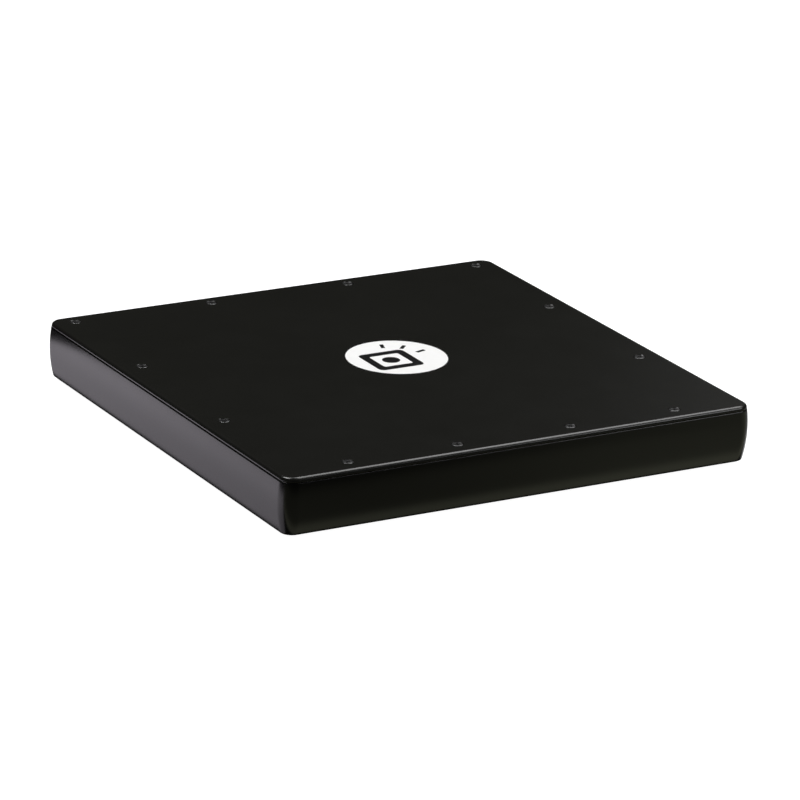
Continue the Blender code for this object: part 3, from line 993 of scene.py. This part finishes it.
def emissive(name, colour, strength, fades):
    """A glow whose strength changes from place to place.

    Each fade is (operation, axis, start, end, value at start, value at end), taken in their order.
    """
    material = bpy.data.materials.new(name)
    material.use_nodes = True
    tree = material.node_tree
    tree.nodes.clear()
    glow = tree.nodes.new("ShaderNodeEmission")
    glow.inputs["Color"].default_value = (*colour, 1.0)
    glow.inputs["Strength"].default_value = strength
    out = tree.nodes.new("ShaderNodeOutputMaterial")
    tree.links.new(glow.outputs[0], out.inputs["Surface"])
    place = tree.nodes.new("ShaderNodeNewGeometry")
    split = tree.nodes.new("ShaderNodeSeparateXYZ")
    tree.links.new(place.outputs["Position"], split.inputs[0])
    total = None
    for operation, axis, start, end, first, last in fades:
        ramp = tree.nodes.new("ShaderNodeMapRange")
        ramp.interpolation_type = "SMOOTHSTEP"
        ends = {"From Min": start, "From Max": end, "To Min": first, "To Max": last}
        for socket, number in ends.items():
            ramp.inputs[socket].default_value = number
        tree.links.new(split.outputs[axis], ramp.inputs["Value"])
        both = tree.nodes.new("ShaderNodeMath")
        both.operation = operation
        both.inputs[1].default_value = 1.0
        tree.links.new(ramp.outputs["Result"], both.inputs[0])
        if total:
            tree.links.new(total, both.inputs[1])
        total = both.outputs[0]
    if total:
        scaled = tree.nodes.new("ShaderNodeMath")
        scaled.operation = "MULTIPLY"
        scaled.inputs[1].default_value = strength
        tree.links.new(total, scaled.inputs[0])
        tree.links.new(scaled.outputs[0], glow.inputs["Strength"])
    return material


def card(name, corners, colour, strength, fades=()):
    """A lit patch that only shows as a reflection in the lacquer."""
    mesh = bpy.data.meshes.new(name)
    mesh.from_pydata(corners, [], [tuple(range(len(corners)))])
    mesh.materials.append(emissive(name, colour, strength, fades))
    thing = bpy.data.objects.new(name, mesh)
    scene.collection.objects.link(thing)
    thing.visible_camera = False
    thing.visible_diffuse = False
    thing.visible_shadow = False
    thing.visible_transmission = False


def floor_card(name, outline, colour, strength, fades=()):
    height = 0.0004
    card(name, [(x, y, height) for x, y in outline], colour, strength, fades)


def add_studio():
    mesh = bpy.data.meshes.new("floor")
    reach = 20.0
    corners = [(-reach, -reach, 0), (reach, -reach, 0), (reach, reach, 0), (-reach, reach, 0)]
    mesh.from_pydata(corners, [], [(0, 1, 2, 3)])
    pale = bpy.data.materials.new("floor_white")
    pale.use_nodes = True
    shader = pale.node_tree.nodes["Principled BSDF"]
    shader.inputs["Base Color"].default_value = (0.3, 0.3, 0.3, 1)
    shader.inputs["Roughness"].default_value = 1.0
    shader.inputs["Specular IOR Level"].default_value = 0.0
    shader.inputs["Emission Color"].default_value = (1, 1, 1, 1)
    shader.inputs["Emission Strength"].default_value = 1.0
    mesh.materials.append(pale)
    ground = bpy.data.objects.new("floor", mesh)
    scene.collection.objects.link(ground)
    ground.visible_glossy = False
    ground.visible_diffuse = False
    ground.visible_shadow = False

    floor_card(
        "card_left",
        [(-0.196, -0.1885), (-0.196, 0.29), (-0.35, 0.29), (-0.35, -0.192)],
        (0.99, 0.93, 1.02),
        1.25,
        [("MULTIPLY", "Y", -0.30, 0.46, 0.78, 1.28), ("MULTIPLY", "X", -0.275, -0.18, 1.10, 0.55)],
    )
    floor_card(
        "card_rear",
        [(-0.19, 0.187), (0.9, 0.187), (0.9, 1.2), (-0.19, 1.2)],
        (1.0, 1.0, 1.0),
        0.7,
    )
    floor_card(
        "card_right",
        [(0.196, -0.19), (1.2, -0.19), (1.2, 0.30), (0.196, 0.30)],
        (1.0, 1.0, 1.0),
        0.9,
        [("MULTIPLY", "X", 0.20, 0.30, 1.0, 0.4)],
    )
    floor_card(
        "card_front",
        [(-0.5, -1.2), (1.2, -1.2), (1.2, -0.1965), (-0.5, -0.1965)],
        (0.98, 1.0, 0.74),
        0.25,
        [
            ("MULTIPLY", "Y", -0.50, -0.28, 0.0, 1.0),
            ("MAXIMUM", "X", 0.12, 0.40, 0.0, 1.2),
            ("MULTIPLY", "X", -0.12, 0.22, 0.45, 1.0),
            ("ADD", "Y", -0.214, -0.199, 0.0, 1.1),
        ],
    )
    card(
        "card_back",
        [(0.9, 2.4, 0.2), (4.0, 2.4, 0.2), (4.0, 2.4, 2.6), (0.9, 2.4, 2.6)],
        (1.0, 1.0, 1.0),
        0.11,
        [("MULTIPLY", "X", 1.65, 2.1, 0.0, 1.0)],
    )

    softbox("key", (1.1, 0.35, 1.9), (0, 0, 0), (1.8, 1.1), 4.5)
    softbox("fill", (-0.6, 0.55, 1.9), (0, 0, 0), (0.9, 0.9), 10.3)
    softbox("edge_right", (1.05, -1.05, 0.85), (0.1, -0.15, 0.04), (0.65, 0.45), 3.6)

    world = bpy.data.worlds.new("studio")
    scene.world = world
    world.use_nodes = True
    tree = world.node_tree
    background = tree.nodes["Background"]
    background.inputs["Color"].default_value = (1, 1, 1, 1)
    path = tree.nodes.new("ShaderNodeLightPath")
    total = None
    strengths = {"Is Camera Ray": 1.0, "Is Diffuse Ray": 0.12, "Is Glossy Ray": 0.01}
    for ray, strength in strengths.items():
        part = tree.nodes.new("ShaderNodeMath")
        part.operation = "MULTIPLY_ADD"
        part.inputs[1].default_value = strength
        part.inputs[2].default_value = 0.0
        tree.links.new(path.outputs[ray], part.inputs[0])
        if total:
            tree.links.new(total, part.inputs[2])
        total = part.outputs[0]
    tree.links.new(total, background.inputs["Strength"])
    world.cycles.sampling_method = "NONE"

    scene.view_settings.view_transform = "Standard"


add_walls()
add_tapa()
add_back_panel()
add_badge()
add_feet()
add_screws()
add_snares()
finish_cad_nodes()
add_camera()
add_studio()
